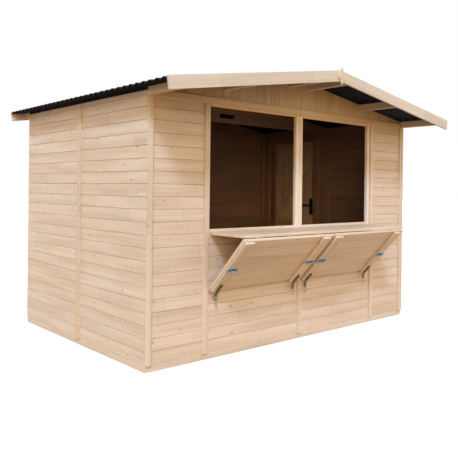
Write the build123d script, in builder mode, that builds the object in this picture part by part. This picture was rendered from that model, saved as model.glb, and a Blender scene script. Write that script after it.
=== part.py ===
from build123d import *
import os
from math import asin, atan, cos, degrees, hypot, radians, sin, tan

# Wooden market stall, in millimetres: a shed of boarded wall panels under a low gable roof of
# corrugated sheet, with two serving windows in the long front and a door in the right end.
# Origin at the centre of the footprint on the ground, +X to the right along the front,
# +Y to the back, +Z up. The serving front looks along -Y.

# ---------------------------------------------------------------- driving sizes
# building
width = 3110.0                # over the wall boards, along X
depth = 2010.0                # over the wall boards, along Y
wall_high = 1920.0            # ground to the seat of the eave purlins
board_thick = 16.0
board_pitch = 89.5            # visible height of one board
board_groove = 2.5            # depth of the V between two boards
stud_deep = 28.0              # frame behind the boards
stud_wide = 38.0
base_high = 50.0              # rail that the walls stand on

# front
left_panel_wide = 525.0
right_panel_wide = 555.0
window_stile = 35.0
window_mid_x = -8.0           # joint between the two frames
window_mullion = 42.0         # the two stiles that meet there
window_low = 970.0
window_high = 1893.0
head_low = 1912.0
head_high = 48.0
batten_thick = 16.0
batten_wide = 38.0
batten_left_aside = 7.0       # left and right battens, beyond the windows' outer edges
batten_right_aside = 19.0
batten_mid_x = -4.0           # the middle one ends under the counter
left_corner_wide = 40.0
right_corner_wide = 58.0
side_batten_wide = 50.0

# counter shelves and the folding flaps under them
counter_top = 951.0
counter_thick = 22.0
counter_reach = 386.0         # out from the wall boards
counter_gap = 3.0
counter_left_inset = 40.0     # shelf ends, in from the windows' outer edges
counter_right_inset = 14.0
counter_joint = 20.0
flap_long = 539.0
flap_thick = 24.0
flap_reach = 404.0
flap_gap = 4.0                # under the counter
flap_left_inset = 23.0        # flap ends, in from the windows' outer edges
flap_right_inset = 38.0
flap_split_left = -22.0
flap_split_right = -8.0
cleat_wide = 95.0
cleat_thick = 20.0
cleat_start = 9.0             # below the flap's top edge
cleat_inset = 46.0            # of the right cleat from the flap's right edge

# roof
roof_slope = 8.87             # degrees
eave_out = 130.0              # sheet edge beyond the wall boards
front_out = 410.0             # sheet beyond the front boards
back_out = 115.0
sheet_high = 23.0
sheet_thick = 2.6
wave_pitch = 78.0
ridge_open = 8.0              # from the ridge line to each sheet
cap_wing = 130.0
cap_thick = 3.0
barge_thick = 18.0
barge_deep = 88.0
barge_over = 4.0              # beyond the sheet edge
barge_rise = 1.0              # over the sheet's crests
apex_wide = 74.0
apex_high = 140.0
apex_thick = 16.0
apex_up = 20.0                # top of the apex plate over the barge boards
purlin_wide = 45.0
purlin_high = 52.0
seal_thick = 2.5              # sealing strip on the eave purlins, over the end walls
seal_high = 19.0
seal_under = 1.0              # clearance below the sheet
mid_purlin_x = 842.5
ridge_purlin_x = 120.5
gable_rail_high = 38.0
gable_board_pitch = 88.0

# truss in the middle of the roof
truss_y = -28.0
truss_thick = 44.0
slot_wide = 190.0
slot_high = 43.0
slot_low = 1963.0
slot_x = -10.0

# middle joint of the two end walls
left_joint_y = -22.0
right_joint_y = -48.0

# door in the right end wall
door_front = 160.0            # lock edge of the leaf
door_back = 755.0             # hinge edge of the leaf
door_low_gap = 5.0
door_top = 1850.0
door_top_gap = 5.0
door_lock_gap = 8.0
door_hinge_gap = 5.0
door_post_wide = 76.0
ledge_wide = 90.0
ledge_thick = 20.0
ledge_inset = 8.0
ledge_low = 130.0
ledge_mid = 860.0
ledge_high = 1690.0
brace_wide = 80.0

# door fittings
pin_r = 3.0
pin_clear = 0.3
knuckle_r = 6.0
knuckle_high = 44.0
knuckle_gap = 1.0
end_knuckle_high = 30.0
hinge_plate_thick = 2.5
hinge_plate_wide = 34.0
strap_long = 190.0
strap_high = 34.0
hinge_low = 240.0
hinge_high = 1680.0
handle_y = 206.0
handle_z = 1090.0
handle_plate_wide = 40.0
handle_plate_below = 110.0    # from the spindle to the plate's foot
handle_plate_above = 80.0
handle_plate_thick = 5.0
spindle_r = 5.0
spindle_clear = 0.4
lever_neck_r = 9.0
lever_stand = 32.0            # lever off its plate
lever_thick = 11.0
lever_high = 18.0
lever_long = 105.0
keeper_y = 136.0
keeper_wide = 30.0
keeper_low = 1000.0
keeper_high = 1140.0
keeper_thick = 3.0

# hatch fittings
hinge_leaf = 26.0
hinge_leaf_thick = 2.0
hinge_leaf_wide = 60.0
hinge_barrel_r = 3.5
bolt_up = 246.0               # place along the flap
bolt_long = 112.0
bolt_plate_long = 88.0
bolt_plate_wide = 36.0
bolt_plate_thick = 2.0
bolt_rod_r = 5.0
bolt_lift = 1.0               # bolt over its plate
bolt_keep = 1.5               # metal of a keep over the bolt
toggle_wide = 28.0
toggle_long = 86.0
toggle_thick = 3.0
toggle_lever_wide = 20.0
toggle_lever_start = -24.0    # the lever hangs past the flap's foot
toggle_lever_end = 74.0
toggle_lever_thick = 9.0

# ---------------------------------------------------------------- derived places
half_width = width / 2
half_depth = depth / 2
wall_thick = board_thick + stud_deep
slope = tan(radians(roof_slope))
roof_cos = cos(radians(roof_slope))
roof_sin = sin(radians(roof_slope))
# The roof's underside is a plane that rests on the outer top edge of the eave purlins.
roof_under = wall_high + purlin_high + slope * half_width
crest_top = roof_under + sheet_high / roof_cos
barge_top = crest_top + barge_rise
sheet_end = half_width + eave_out
sheet_front = -half_depth - front_out
sheet_back = half_depth + back_out

left_joint_x = -half_width + left_panel_wide
right_joint_x = half_width - right_panel_wide
batten_left_x = left_joint_x - batten_left_aside
batten_right_x = right_joint_x + batten_right_aside
sill_low = window_low - window_stile
counter_left_end = left_joint_x + counter_left_inset
counter_right_end = right_joint_x - counter_right_inset
flap_left_end = left_joint_x + flap_left_inset
flap_right_end = right_joint_x - flap_right_inset
counter_low = counter_top - counter_thick
door_low = base_high + door_low_gap
door_open_front = door_front - door_lock_gap
door_open_back = door_back + door_hinge_gap
door_open_top = door_top + door_top_gap
hinge_x = half_width + knuckle_r
hinge_y = (door_back + door_open_back) / 2
back_joint_x = width / 6

# The flap leans from the counter's underside back to the battens on the wall.
flap_swing = hypot(flap_long, flap_thick)
lean = asin((flap_reach - batten_thick) / flap_swing) - atan(flap_thick / flap_long)
flap_foot = counter_low - flap_gap - flap_long * cos(lean)
flap_plane = Plane(
    origin=(0, -half_depth - batten_thick, flap_foot),
    x_dir=(1, 0, 0),
    z_dir=(0, -cos(lean), -sin(lean)),
)

# Both flaps and the middles of their cleats along X.
flap_spans = ((flap_left_end, flap_split_left), (flap_split_right, flap_right_end))
cleat_places = []
for left, right in flap_spans:
    cleat_places.append(left + cleat_wide / 2)
    cleat_places.append(right - cleat_inset - cleat_wide / 2)

FRONT = (0, -1)
BACK = (0, 1)
LEFT = (-1, 0)
RIGHT = (1, 0)

print("roof underside at the ridge", round(roof_under, 2), "flap lean", round(degrees(lean), 2))
print("flap foot", round(flap_foot, 1), "barge top", round(barge_top, 1))


def roof_at(x):
    """Height of the roof's underside at a distance x from the ridge."""
    return roof_under - slope * abs(x)


# ---------------------------------------------------------------- shared outlines
def wall_plane(out, along):
    """Sketch plane across a wall: x points out of the wall from behind its boards, y points up."""
    reach = half_width if out[0] else half_depth
    back_of_board = reach - board_thick
    place = (out[0] * back_of_board + abs(out[1]) * along, out[1] * back_of_board + abs(out[0]) * along, 0)
    return Plane(origin=place, x_dir=(out[0], out[1], 0), z_dir=(out[1], -out[0], 0))


def boards_up(low, high):
    """Closed outline of a stack of horizontal boards, with a V where two boards meet."""
    outline = [(0, low), (0, high), (board_thick, high)]
    count = int((high - base_high) / board_pitch)
    for k in range(count, 0, -1):
        joint = base_high + k * board_pitch
        if low + 2 * board_groove < joint < high - 2 * board_groove:
            outline.append((board_thick, joint + board_groove))
            outline.append((board_thick - board_groove, joint))
            outline.append((board_thick, joint - board_groove))
    outline.append((board_thick, low))
    Polygon(*outline, align=None)


def boarding(out, start, end, low, high):
    """Boards of one wall panel between two places along the wall."""
    first = end if out in (FRONT, RIGHT) else start
    with BuildSketch(wall_plane(out, first)) as section:
        boards_up(low, high)
    extrude(section.sketch, amount=end - start)


def block(x_range, y_range, z_range):
    """Sawn piece that fills three ranges."""
    with BuildSketch(Plane.XY.offset(z_range[0])) as section:
        with Locations(((x_range[0] + x_range[1]) / 2, (y_range[0] + y_range[1]) / 2)):
            Rectangle(x_range[1] - x_range[0], y_range[1] - y_range[0])
    extrude(section.sketch, amount=z_range[1] - z_range[0])


def purlin_outline(centre):
    """Purlin section: level underside, upper side planed to the roof slope."""
    side = 1 if centre > 0 else -1
    inner = centre - side * purlin_wide / 2
    outer = centre + side * purlin_wide / 2
    low = roof_at(outer) - purlin_high
    Polygon((inner, low), (outer, low), (outer, roof_at(outer)), (inner, roof_at(inner)), align=None)


def gable_outline(reach):
    """Low triangle between the wall top and the roof, up to a distance from the ridge."""
    Polygon(
        (-reach, wall_high),
        (reach, wall_high),
        (reach, roof_at(reach)),
        (0, roof_under),
        (-reach, roof_at(reach)),
        align=None,
    )


def elevation(y):
    """Sketch plane across the building: x to the right, y up, normal towards the front."""
    return Plane(origin=(0, y, 0), x_dir=(1, 0, 0), z_dir=(0, -1, 0))


gable_reach = half_width - purlin_wide
inner_purlins = (-mid_purlin_x, -ridge_purlin_x, ridge_purlin_x, mid_purlin_x)

# ---------------------------------------------------------------- base
with BuildPart() as base_rails_side:
    for side in (-1, 1):
        outer = side * half_width
        inner = side * (half_width - wall_thick)
        block((min(outer, inner), max(outer, inner)), (-half_depth, half_depth), (0, base_high))

with BuildPart() as base_rails_cross:
    for side in (-1, 1):
        outer = side * half_depth
        inner = side * (half_depth - wall_thick)
        reach = half_width - wall_thick
        block((-reach, reach), (min(outer, inner), max(outer, inner)), (0, base_high))

# ---------------------------------------------------------------- wall boards
# The end walls run the full depth; the front and back boards fit between them.
cross_reach = half_width - board_thick

with BuildPart() as front_panel_left:
    boarding(FRONT, -cross_reach, left_joint_x, base_high, wall_high)

with BuildPart() as front_panel_right:
    boarding(FRONT, right_joint_x, cross_reach, base_high, wall_high)

with BuildPart() as front_panel_low_left:
    boarding(FRONT, left_joint_x, window_mid_x, base_high, sill_low)

with BuildPart() as front_panel_low_right:
    boarding(FRONT, window_mid_x, right_joint_x, base_high, sill_low)

with BuildPart() as left_panel_front:
    boarding(LEFT, -half_depth, left_joint_y, base_high, wall_high)

with BuildPart() as left_panel_rear:
    boarding(LEFT, left_joint_y, half_depth, base_high, wall_high)

with BuildPart() as right_panel_front:
    boarding(RIGHT, -half_depth, right_joint_y, base_high, wall_high)

with BuildPart() as right_panel_lock_side:
    boarding(RIGHT, right_joint_y, door_open_front, base_high, wall_high)

with BuildPart() as right_panel_hinge_side:
    boarding(RIGHT, door_open_back, half_depth, base_high, wall_high)

with BuildPart() as right_panel_over_door:
    boarding(RIGHT, door_open_front, door_open_back, door_open_top, wall_high)

with BuildPart() as back_panel_left:
    boarding(BACK, -cross_reach, -back_joint_x, base_high, wall_high)

with BuildPart() as back_panel_middle:
    boarding(BACK, -back_joint_x, back_joint_x, base_high, wall_high)

with BuildPart() as back_panel_right:
    boarding(BACK, back_joint_x, cross_reach, base_high, wall_high)

# ---------------------------------------------------------------- frame behind the boards
inner_x = half_width - wall_thick
inner_y = half_depth - wall_thick
post_x = (inner_x, half_width - board_thick)
corner_y = half_depth - board_thick
pair = 2 * stud_wide

with BuildPart() as end_wall_posts:
    left_places = (
        (-corner_y, -corner_y + stud_wide),
        (left_joint_y - stud_wide, left_joint_y + stud_wide),
        (corner_y - stud_wide, corner_y),
    )
    right_places = (
        (-corner_y, -corner_y + stud_wide),
        (right_joint_y - stud_wide, right_joint_y + stud_wide),
        (door_open_front - door_post_wide, door_open_front),
        (door_open_back, door_open_back + stud_wide),
        (corner_y - 3 * stud_wide, corner_y),
    )
    for place in left_places:
        block((-post_x[1], -post_x[0]), place, (base_high, wall_high))
    for place in right_places:
        block(post_x, place, (base_high, wall_high))

front_y = (-corner_y, -inner_y)
back_y = (inner_y, corner_y)

with BuildPart() as long_wall_posts:
    for side in (-1, 1):
        corner = (inner_x - stud_wide, inner_x) if side > 0 else (-inner_x, -inner_x + stud_wide)
        block(corner, front_y, (base_high, wall_high))
        block(corner, back_y, (base_high, wall_high))
        joint = side * back_joint_x
        block((joint - stud_wide, joint + stud_wide), back_y, (base_high, wall_high))
    block((left_joint_x - stud_wide, left_joint_x), front_y, (base_high, wall_high))
    block((right_joint_x, right_joint_x + stud_wide), front_y, (base_high, wall_high))

with BuildPart() as counter_posts:
    block((left_joint_x, left_joint_x + stud_wide), front_y, (base_high, sill_low))
    block((window_mid_x - stud_wide, window_mid_x + stud_wide), front_y, (base_high, sill_low))
    block((right_joint_x - stud_wide, right_joint_x), front_y, (base_high, sill_low))

with BuildPart() as wall_rails:
    low_rail = (base_high, base_high + stud_wide)
    top_rail = (wall_high - stud_wide, wall_high)
    for level in (low_rail, top_rail):
        for first, second in zip(left_places, left_places[1:]):
            block((-post_x[1], -post_x[0]), (first[1], second[0]), level)
        block(post_x, (right_places[0][1], right_places[1][0]), level)
        block(post_x, (right_places[1][1], right_places[2][0]), level)
        block(post_x, (right_places[3][1], right_places[4][0]), level)
        block((-inner_x + stud_wide, left_joint_x - stud_wide), front_y, level)
        block((right_joint_x + stud_wide, inner_x - stud_wide), front_y, level)
        block((-inner_x + stud_wide, -back_joint_x - stud_wide), back_y, level)
        block((-back_joint_x + stud_wide, back_joint_x - stud_wide), back_y, level)
        block((back_joint_x + stud_wide, inner_x - stud_wide), back_y, level)
    for level in (low_rail, (sill_low - stud_wide, sill_low)):
        block((left_joint_x + stud_wide, window_mid_x - stud_wide), front_y, level)
        block((window_mid_x + stud_wide, right_joint_x - stud_wide), front_y, level)
    block(post_x, (door_open_front, door_open_back), (door_open_top, wall_high))

# ---------------------------------------------------------------- serving windows
def window_frame(left, right, left_stile, right_stile):
    """Square frame set flush with the wall boards, from the sill rail to the wall top."""
    clear = (left + left_stile, right - right_stile)
    with BuildSketch(elevation(-half_depth + window_stile)) as section:
        with Locations(((left + right) / 2, (sill_low + wall_high) / 2)):
            Rectangle(right - left, wall_high - sill_low)
        with Locations(((clear[0] + clear[1]) / 2, (window_low + window_high) / 2)):
            Rectangle(clear[1] - clear[0], window_high - window_low, mode=Mode.SUBTRACT)
    extrude(section.sketch, amount=window_stile)


with BuildPart() as window_frame_left:
    window_frame(left_joint_x, window_mid_x, window_stile, window_mullion)

with BuildPart() as window_frame_right:
    window_frame(window_mid_x, right_joint_x, window_mullion, window_stile)

head_left = -half_width + max(left_corner_wide, purlin_wide)
head_right = half_width - max(right_corner_wide, purlin_wide)
batten_y = (-half_depth - batten_thick, -half_depth)

with BuildPart() as front_head_board:
    block((head_left, head_right), batten_y, (head_low, head_low + head_high))

with BuildPart() as front_battens:
    half = batten_wide / 2
    for centre, top in ((batten_left_x, head_low), (batten_mid_x, counter_low), (batten_right_x, head_low)):
        block((centre - half, centre + half), batten_y, (base_high, top))
    block((-half_width, -half_width + left_corner_wide), batten_y, (base_high, wall_high))
    block((half_width - right_corner_wide, half_width), batten_y, (base_high, wall_high))

with BuildPart() as rear_battens:
    half = side_batten_wide / 2
    out_x = (half_width, half_width + batten_thick)
    block((-out_x[1], -out_x[0]), (left_joint_y - half, left_joint_y + half), (base_high, wall_high))
    block(out_x, (right_joint_y - half, right_joint_y + half), (base_high, wall_high))
    out_y = (half_depth, half_depth + batten_thick)
    for side in (-1, 1):
        joint = side * back_joint_x
        block((joint - half, joint + half), out_y, (base_high, wall_high))
        corner = (half_width - right_corner_wide, half_width)
        corner = corner if side > 0 else (-corner[1], -corner[0])
        block(corner, out_y, (base_high, wall_high))

# ---------------------------------------------------------------- counter and flaps
counter_y = (-half_depth - counter_reach, -half_depth)

with BuildPart() as counter_left:
    block((counter_left_end, counter_joint - counter_gap / 2), counter_y, (counter_low, counter_top))

with BuildPart() as counter_right:
    block((counter_joint + counter_gap / 2, counter_right_end), counter_y, (counter_low, counter_top))


def flap(left, right):
    """Boarded leaf in the flap plane, with a V between two boards."""
    with BuildSketch(flap_plane) as leaf:
        with Locations(((left + right) / 2, flap_long / 2)):
            Rectangle(right - left, flap_long)
    extrude(leaf.sketch, amount=flap_thick)
    joints = int(flap_long / board_pitch)
    edge = flap_plane.from_local_coords((left, 0, flap_thick))
    with BuildSketch(Plane(origin=edge, x_dir=flap_plane.y_dir, z_dir=(1, 0, 0))) as grooves:
        for k in range(1, joints + 1):
            with Locations((k * board_pitch, 0)):
                Polygon((-board_groove, 0), (board_groove, 0), (0, board_groove), align=None)
                Polygon((-board_groove, 0), (board_groove, 0), (0, -board_groove), align=None)
    extrude(grooves.sketch, amount=right - left, mode=Mode.SUBTRACT)


with BuildPart() as flap_left:
    flap(flap_left_end, flap_split_left)

with BuildPart() as flap_right:
    flap(flap_split_right, flap_right_end)

with BuildPart() as flap_cleats:
    cleat_long = flap_long - cleat_start
    for centre in cleat_places:
        with BuildSketch(flap_plane.offset(flap_thick)):
            with Locations((centre, cleat_long / 2)):
                Rectangle(cleat_wide, cleat_long)
        extrude(amount=cleat_thick)

# Hinges between the counter and the flaps: one leaf under the counter, one behind the flap.
with BuildPart() as hatch_hinges:
    knee_y = -half_depth - batten_thick - flap_long * sin(lean)
    knee_z = counter_low - flap_gap
    for left, right in flap_spans:
        span = right - left
        for share in (1 / 6, 1 / 2, 5 / 6):
            centre = left + share * span
            start = Plane(origin=(centre - hinge_leaf_wide / 2, knee_y, knee_z), x_dir=(0, 1, 0), z_dir=(1, 0, 0))
            with BuildSketch(start):
                barrel_y = hinge_barrel_r + 1.5
                with Locations((barrel_y + hinge_leaf / 2, flap_gap - hinge_leaf_thick / 2)):
                    Rectangle(hinge_leaf, hinge_leaf_thick)
                with Locations((barrel_y, flap_gap - hinge_barrel_r)):
                    Circle(hinge_barrel_r)
                with BuildLine():
                    behind = (cos(lean) * hinge_leaf_thick, sin(lean) * hinge_leaf_thick)
                    down = (sin(lean), -cos(lean))
                    top = (0.0, 0.0)
                    foot = (down[0] * hinge_leaf, down[1] * hinge_leaf)
                    Polyline(top, foot, (foot[0] + behind[0], foot[1] + behind[1]), behind, close=True)
                make_face()
            extrude(amount=hinge_leaf_wide)

# Barrel bolts that lock the hatch when it is folded up: plate, two keeps and a round bolt.
with BuildPart() as barrel_bolts:
    on_cleat = flap_plane.offset(flap_thick + cleat_thick)
    for centre in cleat_places:
        with BuildSketch(on_cleat):
            with Locations((centre, bolt_up)):
                Rectangle(bolt_plate_long, bolt_plate_wide)
        extrude(amount=bolt_plate_thick)
        with BuildSketch(on_cleat):
            with Locations((centre - bolt_long / 5, bolt_up), (centre + bolt_long / 5, bolt_up)):
                Rectangle(bolt_long / 8, 4 * bolt_rod_r)
        extrude(amount=bolt_plate_thick + bolt_lift + 2 * bolt_rod_r + bolt_keep)
        rod_start = on_cleat.from_local_coords((centre - bolt_long / 2, bolt_up, bolt_plate_thick + bolt_lift + bolt_rod_r))
        with BuildSketch(Plane(origin=rod_start, x_dir=on_cleat.y_dir, z_dir=on_cleat.x_dir)):
            Circle(bolt_rod_r)
        extrude(amount=bolt_long)

# Toggle latches at the flap's foot: base plate and folded lever.
with BuildPart() as toggle_latches:
    for centre in cleat_places:
        with BuildSketch(on_cleat):
            with Locations((centre, toggle_long / 2)):
                Rectangle(toggle_wide, toggle_long)
        extrude(amount=toggle_thick)
        with BuildSketch(on_cleat.offset(toggle_thick)):
            with Locations((centre, (toggle_lever_start + toggle_lever_end) / 2)):
                Rectangle(toggle_lever_wide, toggle_lever_end - toggle_lever_start)
        extrude(amount=toggle_lever_thick)

# ---------------------------------------------------------------- roof
def purlin_pair(centre):
    """Two purlins, one each side of the ridge, between the barge boards."""
    for side in (-1, 1):
        with BuildSketch(elevation(sheet_back)) as section:
            purlin_outline(side * centre)
        extrude(section.sketch, amount=sheet_back - sheet_front)


with BuildPart() as eave_purlins:
    purlin_pair(half_width - purlin_wide / 2)

# Black strips on the outer faces of the eave purlins close the gap under the sheets' waves.
with BuildPart() as eave_seals:
    seal_top = roof_at(half_width + seal_thick) - seal_under
    for inner, outer in ((half_width, half_width + seal_thick), (-half_width - seal_thick, -half_width)):
        block((inner, outer), (-half_depth, half_depth), (seal_top - seal_high, seal_top))

with BuildPart() as middle_purlins:
    purlin_pair(mid_purlin_x)

with BuildPart() as ridge_purlins:
    purlin_pair(ridge_purlin_x)


def gable(outer_y, out):
    """Upright boards that close a gable, notched over the purlins, with a V between boards."""
    inner_face = outer_y - out * board_thick
    with BuildSketch(elevation(max(outer_y, inner_face))) as triangle:
        gable_outline(gable_reach)
    extrude(triangle.sketch, amount=board_thick)
    with BuildSketch(elevation(max(outer_y, inner_face))) as notches:
        for centre in inner_purlins:
            purlin_outline(centre)
    extrude(notches.sketch, amount=board_thick, mode=Mode.SUBTRACT)
    count = int(gable_reach / gable_board_pitch)
    with BuildSketch(Plane.XY.offset(wall_high)) as grooves:
        for k in range(-count, count + 1):
            with Locations((k * gable_board_pitch, outer_y)):
                Polygon((-board_groove, 0), (board_groove, 0), (0, -out * board_groove), align=None)
                Polygon((-board_groove, 0), (board_groove, 0), (0, out * board_groove), align=None)
    extrude(grooves.sketch, amount=roof_under - wall_high, mode=Mode.SUBTRACT)


with BuildPart() as front_gable:
    gable(-half_depth, -1)

with BuildPart() as back_gable:
    gable(half_depth, 1)

with BuildPart() as gable_rails:
    rail_z = (wall_high, wall_high + gable_rail_high)
    block((-gable_reach, gable_reach), front_y, rail_z)
    block((-gable_reach, gable_reach), back_y, rail_z)

with BuildPart() as middle_truss:
    with BuildSketch(elevation(truss_y + truss_thick / 2)):
        gable_outline(gable_reach)
    extrude(amount=truss_thick)
    for centre in inner_purlins:
        with BuildSketch(elevation(truss_y + truss_thick / 2)):
            purlin_outline(centre)
        extrude(amount=truss_thick, mode=Mode.SUBTRACT)
    with BuildSketch(elevation(truss_y + truss_thick / 2)):
        with Locations((slot_x, slot_low + slot_high / 2)):
            Rectangle(slot_wide, slot_high)
    extrude(amount=truss_thick, mode=Mode.SUBTRACT)


def sheet_outline(run):
    """Corrugated section: flat crests and troughs joined by slopes, the same on both skins."""
    waves = round(run / wave_pitch)
    pitch = run / waves
    rise = (sheet_high - sheet_thick) / 2
    lower = [(0, rise)]
    for k in range(waves):
        for eighth, share in enumerate((0.41, 1, 1, 0.41, -0.41, -1, -1, -0.41)):
            lower.append(((k + (eighth + 0.5) / 8) * pitch, rise + share * rise))
    lower.append((run, rise))
    upper = [(x, y + sheet_thick) for x, y in reversed(lower)]
    Polygon(*lower, *upper, align=None)


sheet_run = sheet_back - sheet_front
sheet_down = (sheet_end - ridge_open) / roof_cos

with BuildPart() as roof_sheet_right:
    with BuildSketch(
        Plane(
            origin=(ridge_open, sheet_front, roof_at(ridge_open)),
            x_dir=(0, 1, 0),
            z_dir=(roof_cos, 0, -roof_sin),
        )
    ):
        sheet_outline(sheet_run)
    extrude(amount=sheet_down)

with BuildPart() as roof_sheet_left:
    add(roof_sheet_right.part.mirror(Plane.YZ))

with BuildPart() as ridge_cap:
    with BuildSketch(elevation(sheet_back)):
        with BuildLine():
            wing = cap_wing * roof_cos
            Polyline(
                (0, crest_top),
                (wing, crest_top - slope * wing),
                (wing, crest_top - slope * wing + cap_thick),
                (0, crest_top + cap_thick),
                (-wing, crest_top - slope * wing + cap_thick),
                (-wing, crest_top - slope * wing),
                close=True,
            )
        make_face()
    extrude(amount=sheet_back - sheet_front)


def barge(side):
    """Barge board along one slope: plumb cut at the ridge, square cut at the eave."""
    end = sheet_end + barge_over
    Polygon(
        (0, barge_top),
        (side * end, barge_top - slope * end),
        (side * (end - barge_deep * roof_sin), barge_top - slope * end - barge_deep * roof_cos),
        (0, barge_top - barge_deep / roof_cos),
        align=None,
    )


with BuildPart() as barge_boards_left:
    with BuildSketch(elevation(sheet_front)):
        barge(-1)
    extrude(amount=barge_thick)
    with BuildSketch(elevation(sheet_back + barge_thick)):
        barge(-1)
    extrude(amount=barge_thick)

with BuildPart() as barge_boards_right:
    with BuildSketch(elevation(sheet_front)):
        barge(1)
    extrude(amount=barge_thick)
    with BuildSketch(elevation(sheet_back + barge_thick)):
        barge(1)
    extrude(amount=barge_thick)

with BuildPart() as apex_plates:
    for face in (sheet_front - barge_thick, sheet_back + barge_thick + apex_thick):
        with BuildSketch(elevation(face)):
            centre_z = barge_top + apex_up - apex_high / 2
            with BuildLine():
                Polyline(
                    (0, centre_z + apex_high / 2),
                    (apex_wide / 2, centre_z),
                    (0, centre_z - apex_high / 2),
                    (-apex_wide / 2, centre_z),
                    close=True,
                )
            make_face()
        extrude(amount=apex_thick)

# ---------------------------------------------------------------- door
with BuildPart() as door_leaf:
    block((half_width - board_thick, half_width), (door_front, door_back), (door_low, door_top))
    leaf_wide = door_back - door_front
    count = round(leaf_wide / board_pitch)
    with BuildSketch(Plane.XY.offset(door_low)):
        for k in range(1, count):
            with Locations((half_width, door_front + k * leaf_wide / count)):
                Polygon((0, -board_groove), (0, board_groove), (-board_groove, 0), align=None)
                Polygon((0, -board_groove), (0, board_groove), (board_groove, 0), align=None)
    extrude(amount=door_top - door_low, mode=Mode.SUBTRACT)
    with BuildSketch(Plane.YZ.offset(half_width - board_thick)):
        with Locations((handle_y, handle_z)):
            Circle(spindle_r + spindle_clear)
    extrude(amount=board_thick, mode=Mode.SUBTRACT)

ledge_x = (half_width - board_thick - ledge_thick, half_width - board_thick)
ledge_y = (door_front + ledge_inset, door_back - ledge_inset)

with BuildPart() as door_ledges:
    for low in (ledge_low, ledge_mid, ledge_high):
        block(ledge_x, ledge_y, (low, low + ledge_wide))

with BuildPart() as door_braces:
    for low, high in ((ledge_low + ledge_wide, ledge_mid), (ledge_mid + ledge_wide, ledge_high)):
        with BuildSketch(Plane.YZ.offset(ledge_x[0])):
            with BuildLine():
                Polyline(
                    (ledge_y[1] - brace_wide, low),
                    (ledge_y[1], low),
                    (ledge_y[0] + brace_wide, high),
                    (ledge_y[0], high),
                    close=True,
                )
            make_face()
        extrude(amount=ledge_thick)

hinge_places = (hinge_low, hinge_high)
knuckle_pitch = knuckle_high + 2 * knuckle_gap

# Fixed half: plate on the post, two end knuckles and the pin, cut back for the moving knuckle.
with BuildPart() as door_hinge_plates:
    for centre in hinge_places:
        total = knuckle_pitch + 2 * end_knuckle_high
        low = centre - total / 2
        plate_x = (half_width, half_width + hinge_plate_thick)
        block(plate_x, (hinge_y + hinge_plate_thick, hinge_y + hinge_plate_wide), (low, low + total))
    for centre in hinge_places:
        with BuildSketch(Plane.XY.offset(centre - knuckle_pitch / 2)):
            with Locations((hinge_x, hinge_y)):
                Circle(knuckle_r + knuckle_gap)
        extrude(amount=knuckle_pitch, mode=Mode.SUBTRACT)
        for low in (centre - knuckle_pitch / 2 - end_knuckle_high, centre + knuckle_pitch / 2):
            with BuildSketch(Plane.XY.offset(low)):
                with Locations((hinge_x, hinge_y)):
                    Circle(knuckle_r)
            extrude(amount=end_knuckle_high)
        with BuildSketch(Plane.XY.offset(centre - knuckle_pitch / 2)):
            with Locations((hinge_x, hinge_y)):
                Circle(pin_r)
        extrude(amount=knuckle_pitch)

# Moving half: middle knuckle with its strap along the leaf.
with BuildPart() as door_hinge_straps:
    for centre in hinge_places:
        with BuildSketch(Plane.XY.offset(centre - knuckle_high / 2)):
            with Locations((hinge_x, hinge_y)):
                Circle(knuckle_r)
        extrude(amount=knuckle_high)
        with BuildSketch(Plane.YZ.offset(half_width)):
            with Locations((hinge_y - strap_long / 2 - hinge_plate_thick, centre)):
                Rectangle(strap_long, strap_high)
        extrude(amount=hinge_plate_thick)
        with BuildSketch(Plane.XY.offset(centre - knuckle_high / 2)):
            with Locations((hinge_x, hinge_y)):
                Circle(pin_r + pin_clear)
        extrude(amount=knuckle_high, mode=Mode.SUBTRACT)

# Long plates on both sides of the leaf, bored for the spindle.
with BuildPart() as door_handle_plates:
    plate_high = handle_plate_above + handle_plate_below
    plate_mid = handle_z + (handle_plate_above - handle_plate_below) / 2
    for face in (half_width - board_thick - handle_plate_thick, half_width):
        with BuildSketch(Plane.YZ.offset(face)):
            with Locations((handle_y, plate_mid)):
                RectangleRounded(handle_plate_wide, plate_high, 8)
            with Locations((handle_y, handle_z)):
                Circle(spindle_r + spindle_clear, mode=Mode.SUBTRACT)
        extrude(amount=handle_plate_thick)

# Both levers on one spindle.
with BuildPart() as door_levers:
    inside = half_width - board_thick - handle_plate_thick
    outside = half_width + handle_plate_thick
    neck = lever_stand - spindle_clear
    with BuildSketch(Plane.YZ.offset(inside - lever_stand)):
        with Locations((handle_y, handle_z)):
            Circle(spindle_r)
    extrude(amount=outside - inside + 2 * lever_stand)
    for face, out in ((inside - spindle_clear, -1), (outside + spindle_clear, 1)):
        with BuildSketch(Plane.YZ.offset(face)):
            with Locations((handle_y, handle_z)):
                Circle(lever_neck_r)
        extrude(amount=out * neck)
        with BuildSketch(Plane.YZ.offset(face + out * (neck - lever_thick))):
            with Locations((handle_y + lever_long / 2 - lever_neck_r, handle_z)):
                SlotOverall(lever_long, lever_high)
        extrude(amount=out * lever_thick)

with BuildPart() as door_keeper:
    block(
        (inner_x - keeper_thick, inner_x),
        (keeper_y - keeper_wide / 2, keeper_y + keeper_wide / 2),
        (keeper_low, keeper_high),
    )

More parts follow.
